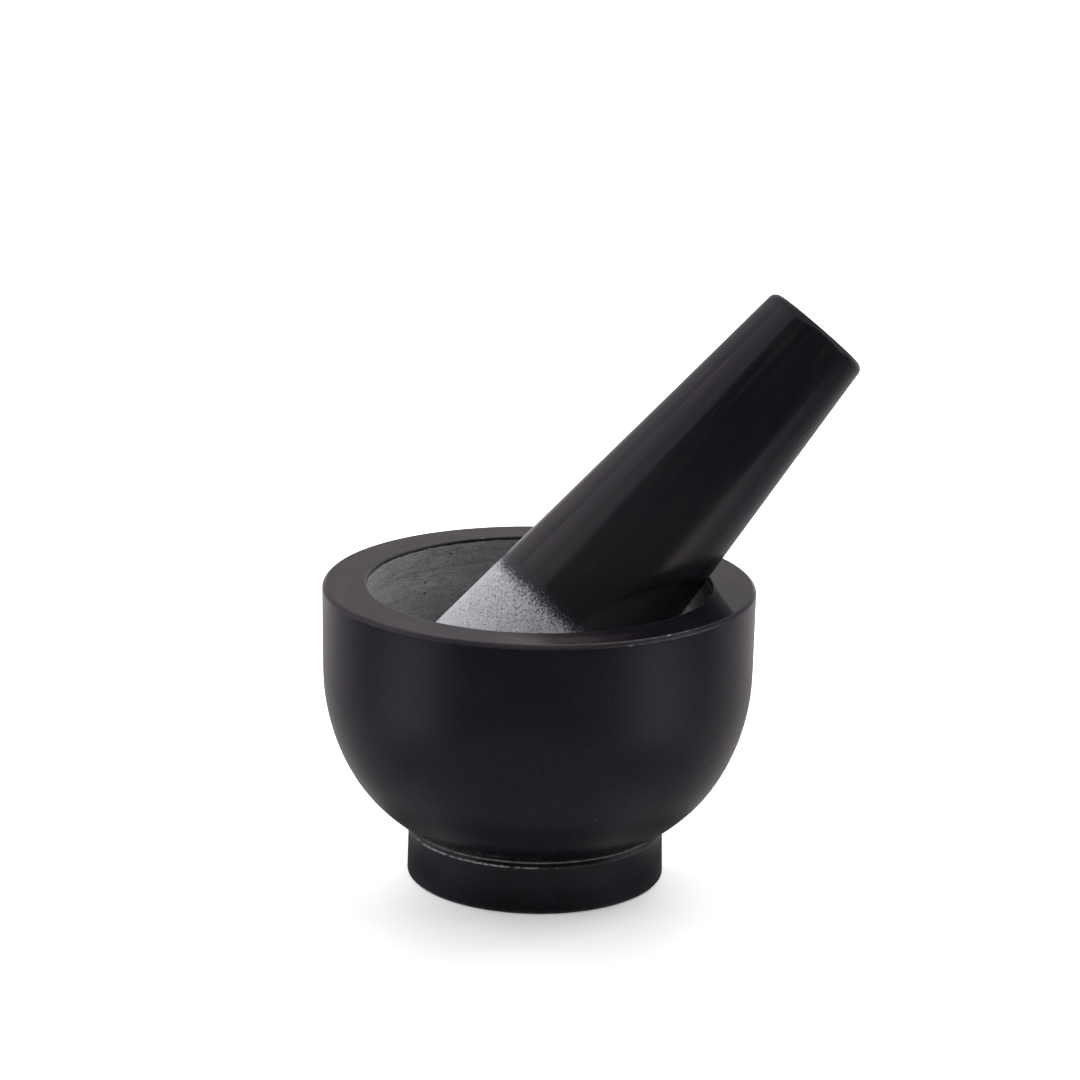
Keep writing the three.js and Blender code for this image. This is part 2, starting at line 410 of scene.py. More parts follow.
def mortar_pits(angle, outline, along, starts):
    """How deep the small pits are at each point of the rings, in mm."""
    s = along[1:-1, None]
    depth = np.zeros((len(s), len(angle)))
    for degrees, stretch, distance, size, deepest in MORTAR_PITS:
        place = starts[stretch] + distance
        radius = np.interp(place, along, outline[:, 0])
        centre = FRONT + math.radians(degrees)
        apart = ((angle - centre + math.pi) % (2 * math.pi) - math.pi) * radius
        away = np.hypot(s - place, apart)
        depth += deepest * smoothstep(size, 0.2 * size, away)
    return depth


def edge_wear_and_highlight(angle, s, starts):
    """How far the oiled finish is rubbed off the edges, from 0 to 1, and the painted highlight
    line where the bowl rises from the foot.
    """
    knocked = knocked_edge(angle)
    # (outline stretch, width of the line at its start in mm, share of the finish gone; on the
    # underbowl row, strength of the painted highlight)
    lines = [
        ("foot_edge", 0.40, 0.06),
        ("foot_wall", 0.30, 0.08),
        ("foot_shoulder", 0.16, 0.20),
        # Painted highlight: the full-strength pale line where the bowl rises from the foot.
        ("underbowl", 0.17, 1.0),
        ("rim_chamfer", 0.15, 0.07 + 0.22 * knocked),
        ("rim", 0.15, 0.09 + 0.38 * knocked),
        ("mouth", 0.20, 0.20),
        ("inner_wall", 0.30, 0.05),
    ]
    wear = np.zeros((len(s), len(angle)))
    for name, width, share in lines:
        wear = np.maximum(wear, share * np.exp(-((s - starts[name]) / width) ** 2))
    return wear


def mark_finish(piece, angle, along, starts, chips):
    """Stores where the mortar's finish is chipped, rubbed, polished and smeared, with a painted
    sheen along the rim's front and painted shade on its right side.
    """
    s = along[1:-1, None]
    rings = np.ones((len(s), len(angle)))
    # Painted shade: the smears are left off the rim's right side, where the pestle's shadow and
    # dark mirror image fall. This stretch is also made smoother.
    rubbed_and_shaded = around_front(angle, 62, 55)
    # Painted sheen: a pale smear along the rim's outer part at the front.
    front_sheen = around_front(angle, 4, 21)
    outer = smoothstep(starts["mouth"] - 4.0, starts["rim"] + 5.0, s)
    polish = smoothstep(starts["rim_chamfer"] - 0.5, starts["rim"], s)
    roughness = RIM_ROUGHNESS - RUBBED_SMOOTHER * rubbed_and_shaded
    smear_and_painted_light = polish * (SMEARED * (1 - rubbed_and_shaded) + FRONT_SHEEN * front_sheen * outer)
    set_attribute(piece, "along", s * MM * rings, [0, along[-1] * MM])
    set_attribute(piece, "chips", chips, [0, 0])
    set_attribute(piece, "edge_wear_and_highlight", edge_wear_and_highlight(angle, s, starts), [0, 0])
    set_attribute(piece, "polish", polish * rings, [0, 1])
    set_attribute(piece, "rim_roughness", roughness * rings, [0.2, 0.2])
    set_attribute(piece, "rim_smear_and_painted_light", smear_and_painted_light, [0, 0])


def finish_of_faces(along, starts):
    """Which finish each face has: 0 oiled outside, 1 cavity, 2 underside."""
    middle = (along[1:-2] + along[2:-1]) / 2
    slot = np.where(middle > starts["inner_wall"], 1, np.where(middle < starts["foot_edge"], 2, 0))
    underside_middle = np.full(MORTAR_SEGMENTS, 2)
    cavity_middle = np.full(MORTAR_SEGMENTS, 1)
    rings = np.repeat(slot, MORTAR_SEGMENTS)
    return np.concatenate([rings, underside_middle, cavity_middle]).astype(np.int32)


def mortar_piece():
    outline, along, starts = mortar_outline()
    angle = np.linspace(0, 2 * math.pi, MORTAR_SEGMENTS, endpoint=False)
    chips, chip_depth = mortar_chips(angle, along[1:-1, None], starts)
    lift = mortar_form(outline, along, starts) - chip_depth
    lift -= mortar_pits(angle, outline, along, starts)
    piece = turned_mesh("mortar_stone", outline, lift, MORTAR_SEGMENTS, Matrix.Identity(4))
    mark_finish(piece, angle, along, starts, chips)
    lip = (starts["inner_wall"] + LIP_DEPTH) * MM
    for material in (oiled_stone(), cavity_stone(lip), underside_stone()):
        piece.data.materials.append(material)
    piece.data.polygons.foreach_set("material_index", finish_of_faces(along, starts))
    return piece


# ---- Pestle ----

GRIP_WANDER = 0.06             # how far the hand-finished side is from true, in mm
GRIP_WANDER_LENGTH = 26        # and over what distance it wanders
PIT_DEPTH = 0.05               # the rough head's pits, in mm
PIT_SIZE = 1.3
ROUGH_FROM, ROUGH_TO = 50, 40  # the pits deepen between these distances from the tip, in mm
GRIP = PESTLE_TOP_RADIUS * MM  # radius at which side_x and side_y place the side's streaks


def pestle_axis():
    """The CAD pestle's axis: its head's tip, its unit direction and its length, in metres.

    The solid is round, so its corners' longest spread runs along its axis."""
    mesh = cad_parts["pestle"].data
    corners = np.unique(np.round([v.co for v in mesh.vertices], 7), axis=0)
    centre = corners.mean(0)
    _, _, directions = np.linalg.svd(corners - centre)
    direction = directions[0] * math.copysign(1, directions[0][2])
    reach = (corners - centre) @ direction
    tip = centre + direction * reach.min()
    return Vector(tip), Vector(direction), float(reach.max() - reach.min())


def pestle_piece():
    tip, direction, length = pestle_axis()
    outline, _ = pestle_outline(length / MM)
    place = Matrix.Translation(tip) @ direction.to_track_quat("Z", "Y").to_matrix().to_4x4()
    wander = ring_noise(outline, PESTLE_SEGMENTS, GRIP_WANDER_LENGTH, 8)
    pits = np.minimum(ring_noise(outline, PESTLE_SEGMENTS, PIT_SIZE, 9), 0)
    height = outline[1:-1, 1, None]
    lift = GRIP_WANDER * (wander - 1) - FACET_ALLOWANCE
    lift += PIT_DEPTH * pits * smoothstep(ROUGH_FROM, ROUGH_TO, height)
    piece = turned_mesh("pestle_stone", outline, lift, PESTLE_SEGMENTS, place)

    angle = np.linspace(0, 2 * math.pi, PESTLE_SEGMENTS, endpoint=False)
    rings = np.ones_like(lift)
    set_attribute(piece, "along", height * MM * rings, [0, length])
    set_attribute(piece, "side_x", GRIP * np.cos(angle) * rings, [0, 0])
    set_attribute(piece, "side_y", GRIP * np.sin(angle) * rings, [0, 0])
    piece.data.materials.append(pestle_stone_material())
    return piece


# ---- Materials ----

STONE_IOR = 1.5


class Nodes:
    """A short way to build a node tree. owner is a material or a world."""

    def __init__(self, owner):
        self.owner = owner
        owner.use_nodes = True
        self.tree = owner.node_tree
        self.shader = self.tree.nodes.get("Principled BSDF") or self.tree.nodes["Background"]

    def link(self, source, target):
        if isinstance(source, bpy.types.NodeSocket):
            self.tree.links.new(source, target)
        else:
            target.default_value = source

    def place(self):
        return self.tree.nodes.new("ShaderNodeTexCoord").outputs["Object"]

    def attribute(self, name):
        node = self.tree.nodes.new("ShaderNodeAttribute")
        node.attribute_name = name
        return node.outputs["Fac"]

    def math(self, kind, a, b=0.0, clamp=False):
        node = self.tree.nodes.new("ShaderNodeMath")
        node.operation = kind
        node.use_clamp = clamp
        self.link(a, node.inputs[0])
        self.link(b, node.inputs[1])
        return node.outputs[0]

    def times(self, a, b):
        return self.math("MULTIPLY", a, b)

    def plus(self, first, *others):
        for value in others:
            first = self.math("ADD", first, value)
        return first

    def xyz(self, vector):
        node = self.tree.nodes.new("ShaderNodeSeparateXYZ")
        self.link(vector, node.inputs[0])
        return node.outputs

    def vector(self, x, y, z):
        node = self.tree.nodes.new("ShaderNodeCombineXYZ")
        for value, socket in zip((x, y, z), node.inputs):
            self.link(value, socket)
        return node.outputs[0]

    def distance(self):
        """How far a point is from the object's origin, in metres."""
        node = self.tree.nodes.new("ShaderNodeVectorMath")
        node.operation = "LENGTH"
        self.link(self.place(), node.inputs[0])
        return node.outputs["Value"]

    def noise(self, place, size, detail=2.0, rough=0.5):
        """Noise from 0 to 1 whose grain is about size metres."""
        node = self.tree.nodes.new("ShaderNodeTexNoise")
        self.link(place, node.inputs["Vector"])
        node.inputs["Scale"].default_value = 1 / size
        node.inputs["Detail"].default_value = detail
        node.inputs["Roughness"].default_value = rough
        return node.outputs[0]

    def cells(self, place, size):
        """Distance, in cells, to the nearest of the points strewn about size metres apart."""
        node = self.tree.nodes.new("ShaderNodeTexVoronoi")
        self.link(place, node.inputs["Vector"])
        node.inputs["Scale"].default_value = 1 / size
        return node.outputs["Distance"]

    def ramp(self, value, low, high, start=0.0, end=1.0, smooth=True):
        """A number that goes from start, where value is low, to end, where it is high."""
        node = self.tree.nodes.new("ShaderNodeMapRange")
        node.interpolation_type = "SMOOTHSTEP" if smooth else "LINEAR"
        node.clamp = True
        self.link(value, node.inputs["Value"])
        node.inputs["From Min"].default_value = low
        node.inputs["From Max"].default_value = high
        node.inputs["To Min"].default_value = start
        node.inputs["To Max"].default_value = end
        return node.outputs["Result"]

    def mix(self, share, a, b):
        """A colour between a and b."""
        node = self.tree.nodes.new("ShaderNodeMix")
        node.data_type = "RGBA"
        self.link(share, node.inputs["Factor"])
        for value, socket in ((a, node.inputs[6]), (b, node.inputs[7])):
            if isinstance(value, tuple):
                value = (*value, 1.0)
            self.link(value, socket)
        return node.outputs[2]

    def stretched(self, along, across):
        """Places whose noise runs in lines round the axis: fine along the outline only."""
        x, y, _ = self.xyz(self.place())
        return self.vector(self.times(x, across), self.times(y, across), along)

    def lengthwise(self, along):
        """Places whose noise runs in streaks along the piece's own axis."""
        return self.vector(self.attribute("side_x"), self.attribute("side_y"),
                           self.times(along, 0.05))

    def blend(self, share, a, b):
        """A number between a and b."""
        node = self.tree.nodes.new("ShaderNodeMix")
        for value, socket in zip((share, a, b), (0, 2, 3)):
            self.link(value, node.inputs[socket])
        return node.outputs[0]

    def bump(self, height, distance, normal=None):
        """Bump whose full height is distance metres."""
        node = self.tree.nodes.new("ShaderNodeBump")
        node.inputs["Distance"].default_value = distance
        self.link(height, node.inputs["Height"])
        if normal is not None:
            self.link(normal, node.inputs["Normal"])
        return node.outputs[0]

    def finish(self, color, roughness, normal):
        """Connects the stone's looks to its shader."""
        self.link(color, self.shader.inputs["Base Color"])
        self.link(roughness, self.shader.inputs["Roughness"])
        self.link(normal, self.shader.inputs["Normal"])
        self.shader.inputs["IOR"].default_value = STONE_IOR
        return self.owner


def new_nodes(name):
    return Nodes(bpy.data.materials.new(name))


# Colours are linear red, green and blue.
SHEEN_TINT = (0.97, 0.93, 1.0, 1)       # the oil's sheen is faintly violet
OILED_DARK = (0.0031, 0.0026, 0.0048)
OILED_LIGHT = (0.0046, 0.0040, 0.0068)
OILED_MOTTLE = (0.0080, 0.0071, 0.0096)
OILED_GRAIN = (0.016, 0.0146, 0.0180)
PALE_FLECK = (0.16, 0.15, 0.16)
SCRATCH = (0.022, 0.020, 0.023)
# Pale smears, also the painted sheen along the rim's front.
SMEAR_AND_SHEEN = (0.060, 0.049, 0.050)
# Pale of worn edges, also the painted highlight line where the bowl rises from the foot.
WORN_EDGE_AND_HIGHLIGHT = (0.24, 0.235, 0.24)
CHIPPED_STONE = (0.48, 0.47, 0.48)


def dark_stone(n, place, specks_shift):
    """The colour of the oiled stone: nearly black, faintly mottled, with a few pale flecks.

    specks_shift moves the flecks, so that the two pieces have their own.
    """
    cloud = n.noise(place, 0.018, 4, 0.6)
    grain = n.noise(place, 0.0009, 3, 0.6)
    mottle = n.noise(place, 0.0035, 3, 0.6)
    color = n.mix(n.ramp(cloud, 0.3, 0.7), OILED_DARK, OILED_LIGHT)
    color = n.mix(n.ramp(mottle, 0.45, 0.80, 0, 0.22), color, OILED_MOTTLE)
    color = n.mix(n.ramp(grain, 0.58, 0.85, 0, 0.16), color, OILED_GRAIN)
    x, y, z = n.xyz(place)
    specks = n.cells(n.vector(n.plus(x, specks_shift), y, z), 0.0125)
    color = n.mix(n.ramp(specks, 0.028, 0.016, 0, 0.5), color, PALE_FLECK)
    return color, cloud, grain


def oiled_stone():
    """Black stone, turned and oiled to a satin, with pale stone where the finish is chipped."""
    n = new_nodes("oiled_stone")
    place = n.place()
    along = n.attribute("along")
    color, cloud, grain = dark_stone(n, place, 0.3)

    scratches = n.noise(n.stretched(along, 0.06), 0.00022, 2)
    broken = n.ramp(n.noise(place, 0.012, 3), 0.56, 0.70)
    color = n.mix(n.times(n.ramp(scratches, 0.68, 0.76, 0, 0.12), broken), color, SCRATCH)
    # Smears, with a painted sheen along the rim's front; they are left off the rim's right side as
    # painted shade.
    smears_and_sheen = n.noise(n.stretched(along, 0.22), 0.0035, 4, 0.65)
    smears_and_sheen = n.times(n.ramp(smears_and_sheen, 0.36, 0.66, 0.25, 1.0), n.attribute("rim_smear_and_painted_light"))
    color = n.mix(smears_and_sheen, color, SMEAR_AND_SHEEN)
    # Worn edges, and the painted highlight line where the bowl rises from the foot.
    patches = n.ramp(n.noise(place, 0.0035, 4, 0.7), 0.30, 0.62, 0.45, 1.0)
    worn_and_highlit = n.times(n.attribute("edge_wear_and_highlight"), patches)
    color = n.mix(worn_and_highlit, color, WORN_EDGE_AND_HIGHLIGHT)
    chips = n.attribute("chips")
    dust = n.times(chips, n.ramp(n.noise(place, 0.0006, 3), 0.38, 0.56))
    color = n.mix(dust, color, CHIPPED_STONE)

    lines = n.noise(n.stretched(along, 0.02), 0.0011, 3)
    wall_gloss = n.ramp(cloud, 0.25, 0.75, 0.24, 0.29)
    gloss = n.blend(n.attribute("polish"), wall_gloss, n.attribute("rim_roughness"))
    gloss = n.plus(gloss, n.ramp(lines, 0.3, 0.7, -0.003, 0.004), n.times(worn_and_highlit, 0.15))
    gloss = n.math("ADD", gloss, n.times(chips, 0.4), clamp=True)
    normal = n.bump(lines, 0.000001)
    normal = n.bump(grain, 0.0000015, normal)
    n.shader.inputs["Specular Tint"].default_value = SHEEN_TINT
    return n.finish(color, gloss, normal)


CAVITY_DARK = (0.255, 0.262, 0.266)
CAVITY_LIGHT = (0.335, 0.342, 0.346)
CAVITY_BAND = (0.40, 0.408, 0.410)
TOOL_LINE = (0.140, 0.147, 0.150)
CAVITY_BLOTCH = (0.14, 0.146, 0.149)
TOOL_DASH = (0.075, 0.080, 0.082)
CAVITY_GRAIN = (0.080, 0.085, 0.088)
CAVITY_PIT = (0.03, 0.032, 0.033)
# Dark of the oiled lip, also the painted shade down the mouth's right side.
LIP_OIL_AND_SHADE = (0.0045, 0.0040, 0.0055)
SHADE_RUN_SIDE = (0.030, 0.052)  # painted shade: the dark lip reaches deeper down the mouth's right side, under the pestle: from x to x
SHADE_RUN_DEPTH = 0.0024


def lip_oil_and_shade(n, place, along, lip):
    """Where the oiled finish of the outside runs over the mouth's edge, down to a ragged end. Down
    the mouth's right side it reaches further, as painted shade under the pestle.
    """
    edge = n.plus(along, n.ramp(n.noise(place, 0.003, 3), 0.2, 0.8, -0.00018, 0.00018))
    # Painted shade: the dark reaches further down the right side, where the pestle's shadow falls.
    painted_shade_run = n.ramp(n.xyz(place)["X"], *SHADE_RUN_SIDE, 0.0, SHADE_RUN_DEPTH)
    edge = n.math("SUBTRACT", edge, painted_shade_run)
    return n.ramp(edge, lip + 0.0001, lip - 0.0001)


def cavity_stone(lip):
    """The honed grey inside of the bowl, with the turning tool's circles.

    lip is where the oiled finish ends, along the outline.
    """
    n = new_nodes("cavity_stone")
    place = n.place()
    along = n.attribute("along")
    lines = n.noise(n.stretched(along, 0.03), 0.0009, 4, 0.65)
    bands = n.noise(n.stretched(along, 0.06), 0.0045, 3)
    dashes = n.noise(n.stretched(along, 0.11), 0.00042, 2, 0.6)
    cloud = n.noise(place, 0.008, 4, 0.6)
    grain = n.noise(place, 0.00050, 3, 0.65)
    blotches = n.noise(place, 0.0019, 3, 0.6)
    pits = n.cells(place, 0.0075)
    color = n.mix(n.ramp(cloud, 0.3, 0.7), CAVITY_DARK, CAVITY_LIGHT)
    color = n.mix(n.ramp(bands, 0.5, 0.7, 0, 0.5), color, CAVITY_BAND)
    color = n.mix(n.ramp(lines, 0.46, 0.64, 0, 0.5), color, TOOL_LINE)
    color = n.mix(n.ramp(blotches, 0.52, 0.72, 0, 0.5), color, CAVITY_BLOTCH)
    color = n.mix(n.ramp(dashes, 0.52, 0.66, 0, 0.36), color, TOOL_DASH)
    color = n.mix(n.ramp(grain, 0.50, 0.68, 0, 0.8), color, CAVITY_GRAIN)
    color = n.mix(n.ramp(pits, 0.085, 0.045, 0, 0.85), color, CAVITY_PIT)
    # The dark lip, with painted shade down the mouth's right side under the pestle.
    oiled_and_shaded = lip_oil_and_shade(n, place, along, lip)
    color = n.mix(oiled_and_shaded, color, LIP_OIL_AND_SHADE)
    roughness = n.blend(oiled_and_shaded, n.ramp(grain, 0.3, 0.7, 0.55, 0.75), 0.26)
    normal = n.bump(lines, 0.00010)
    normal = n.bump(grain, 0.00010, normal)
    normal = n.bump(n.ramp(dashes, 0.68, 0.54), 0.00006, normal)
    normal = n.bump(n.ramp(pits, 0.045, 0.085), 0.0002, normal)
    return n.finish(color, roughness, normal)


SAWN_DARK = (0.05, 0.051, 0.053)
SAWN_LIGHT = (0.085, 0.086, 0.088)
SAWN_GRAIN = (0.03, 0.03, 0.032)


def underside_stone():
    """The flat underside: sawn, rubbed down and left without oil."""
    n = new_nodes("underside_stone")
    place = n.place()
    cloud = n.noise(place, 0.012, 4, 0.6)
    grain = n.noise(place, 0.0009, 3, 0.6)
    color = n.mix(n.ramp(cloud, 0.3, 0.7), SAWN_DARK, SAWN_LIGHT)
    color = n.mix(n.ramp(grain, 0.55, 0.75, 0, 0.6), color, SAWN_GRAIN)
    normal = n.bump(grain, 0.00006)
    return n.finish(color, n.ramp(cloud, 0.3, 0.7, 0.6, 0.75), normal)


HEAD_FINISH_END = 0.0525       # how far the rough grinding head's finish reaches from the tip
HAZE_START, HAZE_END = 0.065, 0.145     # stone dust rubbed into the grip, thinning upwards
SHADED_SIDE, LIT_SIDE = -0.016, -0.004       # side_y across which the dust fades in: it lightens only the grip's lit side, as painted light
TOP_FACE = (0.1735, 0.1765)    # where the side's lengthwise streaks fade out into the top's face
GRIP_STREAK = (0.0100, 0.0082, 0.0084)
# Pale grey of the stone dust, also painted light on the grip's lit side.
DUST_AND_LIGHT = (0.0155, 0.0138, 0.0160)
HEAD_DARK = (0.405, 0.411, 0.428)
HEAD_LIGHT = (0.462, 0.468, 0.485)
HEAD_GRAIN = (0.54, 0.546, 0.56)
HEAD_PIT = (0.15, 0.154, 0.167)
HEAD_HOLE = (0.06, 0.062, 0.070)
THIN_FINISH = (0.100, 0.106, 0.150)     # the oil's bluish last traces at the head's border


def head_border(n, place, along, side_y):
    """How far each point is from the tip, made ragged for the border of the head's finish."""
    ragged = n.ramp(n.noise(place, 0.012, 3, 0.5), 0.25, 0.75, -0.0016, 0.0016, smooth=False)
    fringe = n.ramp(n.noise(place, 0.00055, 2, 0.7), 0.25, 0.75, -0.0032, 0.0032, smooth=False)
    return n.math("SUBTRACT", n.plus(along, ragged, fringe), n.times(side_y, 0.02))


def grip_color(n, black, along, side_y, streaks):
    """The grip's black, with lengthwise streaks and stone dust rubbed in by the head. The dust is
    kept to the grip's lit side, where it is also painted light.
    """
    black = n.mix(n.ramp(streaks, 0.44, 0.66, 0, 0.85), black, GRIP_STREAK)
    # Stone dust near the head, and painted light: it lightens only the grip's lit side.
    dust_and_light = n.ramp(along, HAZE_END, HAZE_START, 0, 0.75)
    return n.mix(n.times(dust_and_light, n.ramp(side_y, SHADED_SIDE, LIT_SIDE)), black, DUST_AND_LIGHT)


def head_color(n, place, grain, border, pits, holes):
    """The pale grinding head: its grains, pits and holes, and the thin finish at its border."""
    pale = n.noise(place, 0.0045, 3)
    grey = n.mix(n.ramp(pale, 0.3, 0.7), HEAD_DARK, HEAD_LIGHT)
    grey = n.mix(n.ramp(grain, 0.5, 0.75, 0, 0.6), grey, HEAD_GRAIN)
    grey = n.mix(n.ramp(pits, 0.50, 0.66, 0, 0.8), grey, HEAD_PIT)
    grey = n.mix(n.ramp(holes, 0.095, 0.055, 0, 0.75), grey, HEAD_HOLE)
    bare = n.ramp(border, HEAD_FINISH_END + 0.0018, HEAD_FINISH_END - 0.0024)
    return n.mix(bare, THIN_FINISH, grey)


def pestle_stone_material():
    """Smooth black grip, and a rough pale grinding head with a ragged border."""
    n = new_nodes("pestle_stone")
    place = n.place()
    along = n.attribute("along")
    side_y = n.attribute("side_y")
    border = head_border(n, place, along, side_y)
    rough_end = n.ramp(border, HEAD_FINISH_END + 0.0036, HEAD_FINISH_END - 0.0032)
    black, cloud, grain = dark_stone(n, place, 0.0)
    streaks = n.noise(n.lengthwise(along), 0.0016, 3, 0.6)
    streaks = n.blend(n.ramp(along, *TOP_FACE), streaks, 0.5)
    pits = n.noise(place, 0.00055, 3, 0.6)
    holes = n.cells(place, 0.0042)
    color = n.mix(rough_end, grip_color(n, black, along, side_y, streaks),
                  head_color(n, place, grain, border, pits, holes))
    gloss = n.ramp(side_y, -0.017, 0.004, 0.30, 0.145)
    gloss = n.plus(gloss, n.ramp(cloud, 0.25, 0.75, -0.01, 0.02),
                   n.ramp(streaks, 0.35, 0.7, -0.015, 0.03))
    roughness = n.blend(rough_end, gloss, 0.7)
    normal = n.bump(n.times(n.ramp(pits, 0.68, 0.50), rough_end), 0.00014)
    normal = n.bump(n.times(n.ramp(holes, 0.055, 0.095), rough_end), 0.0002, normal)
    normal = n.bump(streaks, 0.000006, normal)
    n.shader.inputs["Specular Tint"].default_value = SHEEN_TINT
    return n.finish(color, roughness, normal)


# ---- Stage ----

STAGE_RADIUS = 1.3
STAGE_SIDES = 96
FLOOR_ALBEDO = 0.93
FLOOR_GLOW = 0.18              # lightens the shadows to the softness of a big white studio
SWEEP_START, SWEEP_END = 0.30, 0.75     # where the floor turns into the white backdrop, in metres


def stage_piece(name, points):
    """A flat piece of the stage without any sheen, and the nodes of its material."""
    mesh = bpy.data.meshes.new(name)
    mesh.from_pydata(points, [], [tuple(range(len(points)))])
    piece = bpy.data.objects.new(name, mesh)
    bpy.context.scene.collection.objects.link(piece)
    n = new_nodes(name)
    n.shader.inputs["Specular IOR Level"].default_value = 0.0
    mesh.materials.append(n.owner)
    return piece, n


def floor_disc():
    """A round white floor. Away from the object it glows, like the foot of a white backdrop."""
    ring = np.linspace(0, 2 * math.pi, STAGE_SIDES, endpoint=False)
    points = [(STAGE_RADIUS * math.cos(a), STAGE_RADIUS * math.sin(a), 0) for a in ring]
    floor, n = stage_piece("floor", points)
    n.shader.inputs["Base Color"].default_value = (FLOOR_ALBEDO, FLOOR_ALBEDO, FLOOR_ALBEDO, 1)
    n.shader.inputs["Roughness"].default_value = 1.0
    n.shader.inputs["Emission Color"].default_value = (1, 1, 1, 1)
    glow = n.ramp(n.distance(), SWEEP_START, SWEEP_END, FLOOR_GLOW, 1.0)
    n.link(glow, n.shader.inputs["Emission Strength"])
    floor.visible_glossy = False


SOFTBOX_DISTANCE = 1.6
SOFTBOX_WIDTH, SOFTBOX_HEIGHT = 1.3, 0.75
AIM = Vector((0, 0, 0.05))

# Softboxes: (name, degrees from the front to the right, elevation in degrees, share of the
# floor's brightness).
SOFTBOXES = [
    ("back_softbox", 180, 28, 0.26),
    ("back_right_softbox", 135, 43, 0.34),
    ("back_left_softbox", -135, 40, 0.33),
    ("left_softbox", -90, 35, 0.26),
    ("right_softbox", 90, 45, 0.30),
    ("front_right_softbox", 60, 40, 0.02),
    ("front_left_softbox", -38, 42, 0.15),
]


def softbox(name, heading, elevation, share):
    """A soft light that faces the object and gives no mirror image of its own.

    share is how bright it alone makes the floor by the object, where 1 is white.
    """
    heading, elevation = math.radians(heading), math.radians(elevation)
    light = bpy.data.lights.new(name, "AREA")
    light.shape = "RECTANGLE"
    light.size = SOFTBOX_WIDTH
    light.size_y = SOFTBOX_HEIGHT
    # A lamp of this many watts straight above would light a perfectly white floor to 1.
    full = (math.pi * SOFTBOX_DISTANCE) ** 2
    light.energy = share * full / (FLOOR_ALBEDO * math.sin(elevation))
    lamp = bpy.data.objects.new(name, light)
    away = Vector((
        math.sin(heading) * math.cos(elevation),
        -math.cos(heading) * math.cos(elevation),
        math.sin(elevation),
    ))
    lamp.location = AIM + away * SOFTBOX_DISTANCE
    lamp.rotation_euler = away.to_track_quat("Z", "Y").to_euler()
    lamp.visible_camera = False
    lamp.visible_glossy = False
    bpy.context.scene.collection.objects.link(lamp)


STUDIO_TINT = (1.07, 1.0, 1.06)        # the mirrored studio is faintly pink beside the white floor

# Bright panels of the mirrored studio: (degrees from the front to the right, half width and
# softness of the edge in degrees, brightness).
LOW_PANELS = [(-66, 16, 14, 0.40), (66, 14, 16, 0.30)]
UPPER_PANELS = [(-86, 34, 4, 0.42), (92, 20, 8, 0.50), (-135, 12, 10, 0.14)]
FLOOR_PANELS = [(-63, 15, 14, 0.62), (59, 13, 19, 0.72), (32, 12, 22, 0.06)]
FLOOR_GLINTS = [(-54, 10, 22, 0.13), (44, 10, 22, 0.12)]

# Backdrops: (degrees from the front where it starts to grow and where it ends, brightness at
# the front and at the back).
LOW_BACKDROP = (75, 165, 0.08, 0.62)
UPPER_BACKDROP = (80, 130, 0.09, 0.33)
CLOSE_FLOOR = (60, 150, 0.25, 0.45)
FAR_FLOOR = (70, 160, 0.05, 0.70)
FOOT_SHADE = (5, 70, 0.08, 0.10)

BENEATH, OVERHEAD = 0.24, 0.45         # brightness straight down and straight up
CAMERA_WHITE = 1.05                    # what the camera itself sees behind the object


def heading_of(n, x, y):
    """The angle from the front, growing to the right, in radians."""
    return n.math("ARCTAN2", x, n.times(y, -1.0))


def panels(n, heading, rows):
    """Upright bright panels with soft edges, as LOW_PANELS lists them."""
    strips = []
    for centre, half_width, edge, strength in rows:
        apart = n.math("ABSOLUTE", n.math("SUBTRACT", heading, math.radians(centre)))
        outer, inner = math.radians(half_width + edge), math.radians(half_width - edge)
        strips.append(n.ramp(apart, outer, inner, 0.0, strength))
    return n.plus(*strips)


def backdrop(n, heading, start, end, front, back):
    """Brightness that grows from the dark front of the studio to the pale backdrop."""
    off_front = n.math("ABSOLUTE", heading)
    return n.ramp(off_front, math.radians(start), math.radians(end), front, back)


def studio_surroundings():
    """What the stone mirrors: a dark studio front, a panel to each side and a pale backdrop.

    The levels below are heights of the mirrored direction, from -1 straight down to 1 straight up.
    """
    world = bpy.data.worlds.new("studio")
    bpy.context.scene.world = world
    n = Nodes(world)
    x, y, z = n.xyz(n.tree.nodes.new("ShaderNodeTexCoord").outputs["Generated"])
    heading = heading_of(n, x, y)
    low_panels = n.times(panels(n, heading, LOW_PANELS), n.ramp(z, -0.20, -0.08))
    floor_side = n.plus(backdrop(n, heading, *LOW_BACKDROP), low_panels)
    upper_side = n.plus(backdrop(n, heading, *UPPER_BACKDROP), panels(n, heading, UPPER_PANELS))
    below = n.blend(n.ramp(z, -0.75, -0.24), BENEATH, floor_side)
    level = n.blend(n.ramp(z, -0.05, 0.12), below, upper_side)
    mirrored = n.blend(n.ramp(z, 0.72, 0.9), level, OVERHEAD)
    camera_ray = n.tree.nodes.new("ShaderNodeLightPath").outputs["Is Camera Ray"]
    n.link(n.blend(camera_ray, mirrored, CAMERA_WHITE), n.shader.inputs["Strength"])
    n.link(n.mix(camera_ray, STUDIO_TINT, (1.0, 1.0, 1.0)), n.shader.inputs["Color"])
    world.cycles_visibility.diffuse = False


# The mirrored floor, in metres from the mortar's axis.
SHADE_INNER, SHADE_OUTER = 0.056, 0.077         # the foot's shade ends between these
GLINT_START, GLINT_END = 0.125, 0.085           # the panels' glints close to the foot
PANEL_START, PANEL_END = 0.110, 0.330           # the panels' light comes up between these
CLOSE_END, FAR_START = 0.230, 0.390             # between the close floor and the far floor
MIRRORED_FLOOR = 0.450                          # its half side
MIRRORED_FADE = 0.050                           # its soft edge
MIRRORED_LIFT = 0.0001


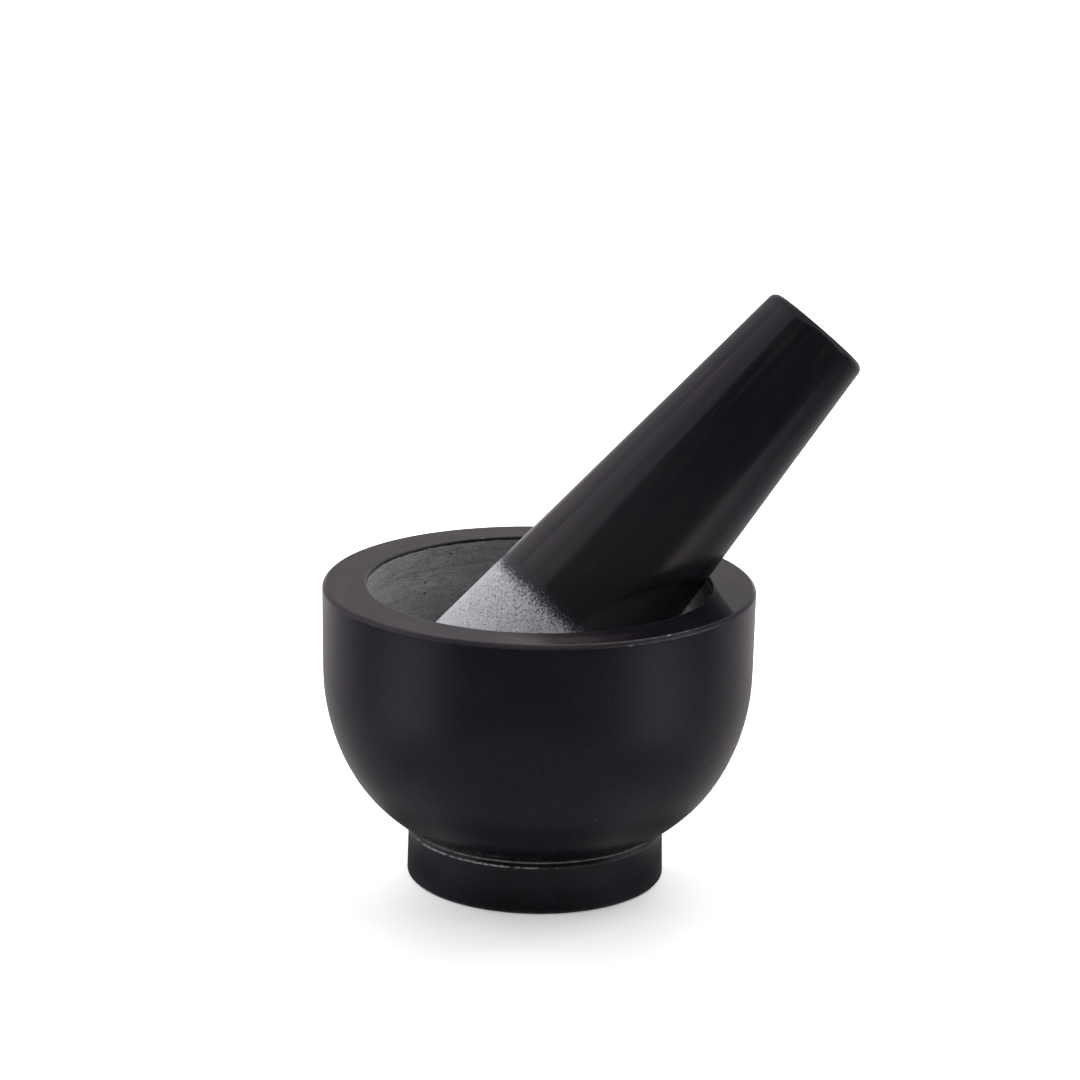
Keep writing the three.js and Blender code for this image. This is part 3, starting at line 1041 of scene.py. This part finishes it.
def mirrored_floor():
    """The floor as the stone mirrors it: shaded round the foot, with the side panels' light.

    Only mirror rays see it.
    """
    h, z = MIRRORED_FLOOR, MIRRORED_LIFT
    floor, n = stage_piece("mirrored_floor", [(-h, -h, z), (h, -h, z), (h, h, z), (-h, h, z)])
    distance = n.distance()
    x, y, _ = n.xyz(n.place())
    heading = heading_of(n, x, y)
    lit = n.times(panels(n, heading, FLOOR_PANELS), n.ramp(distance, PANEL_START, PANEL_END))
    close = backdrop(n, heading, *CLOSE_FLOOR)
    far = backdrop(n, heading, *FAR_FLOOR)
    open_floor = n.blend(n.ramp(distance, CLOSE_END, FAR_START), close, far)
    glints = n.times(panels(n, heading, FLOOR_GLINTS), n.ramp(distance, GLINT_START, GLINT_END))
    open_floor = n.plus(open_floor, glints, lit)
    shade = n.plus(backdrop(n, heading, *FOOT_SHADE), glints)
    glow = n.blend(n.ramp(distance, SHADE_INNER, SHADE_OUTER), shade, open_floor)
    n.shader.inputs["Base Color"].default_value = (0, 0, 0, 1)
    n.shader.inputs["Emission Color"].default_value = (*STUDIO_TINT, 1)
    n.link(glow, n.shader.inputs["Emission Strength"])
    fade = n.ramp(distance, MIRRORED_FLOOR, MIRRORED_FLOOR - MIRRORED_FADE)
    n.link(fade, n.shader.inputs["Alpha"])
    floor.visible_camera = False
    floor.visible_diffuse = False
    floor.visible_shadow = False


def studio():
    studio_surroundings()
    floor_disc()
    mirrored_floor()
    for box in SOFTBOXES:
        softbox(*box)


# ---- Camera ----

CAMERA_LENS = 130.7
CAMERA_SENSOR = 36.0
CAMERA_DISTANCE = 1.26
CAMERA_ELEVATION = math.radians(15.53)
CAMERA_ROLL = math.radians(0.94)
CAMERA_AIM = Vector((0, 0, 0.112455))   # on the mortar's axis, a little above its rim
CLIP_END = 50


def camera():
    """Looks along +Y, a little down, with the slight clockwise tilt of a hand-set tripod."""
    data = bpy.data.cameras.new("camera")
    data.lens = CAMERA_LENS
    data.sensor_width = CAMERA_SENSOR
    data.clip_end = CLIP_END
    eye = bpy.data.objects.new("camera", data)
    back = Vector((0, -math.cos(CAMERA_ELEVATION), math.sin(CAMERA_ELEVATION)))
    level_right = Vector((1, 0, 0))
    level_up = back.cross(level_right)
    right = level_right * math.cos(CAMERA_ROLL) + level_up * math.sin(CAMERA_ROLL)
    up = level_up * math.cos(CAMERA_ROLL) - level_right * math.sin(CAMERA_ROLL)
    turned = Matrix((right, up, back)).transposed().to_4x4()
    eye.matrix_world = Matrix.Translation(CAMERA_AIM + back * CAMERA_DISTANCE) @ turned
    bpy.context.scene.collection.objects.link(eye)
    bpy.context.scene.camera = eye


# ---- The object in its place ----

camera()
studio()

mortar = mortar_piece()
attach(mortar, "mortar")
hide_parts("mortar")

pestle = pestle_piece()
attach(pestle, "pestle")
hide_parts("pestle")

bpy.context.scene.view_settings.view_transform = "Standard"
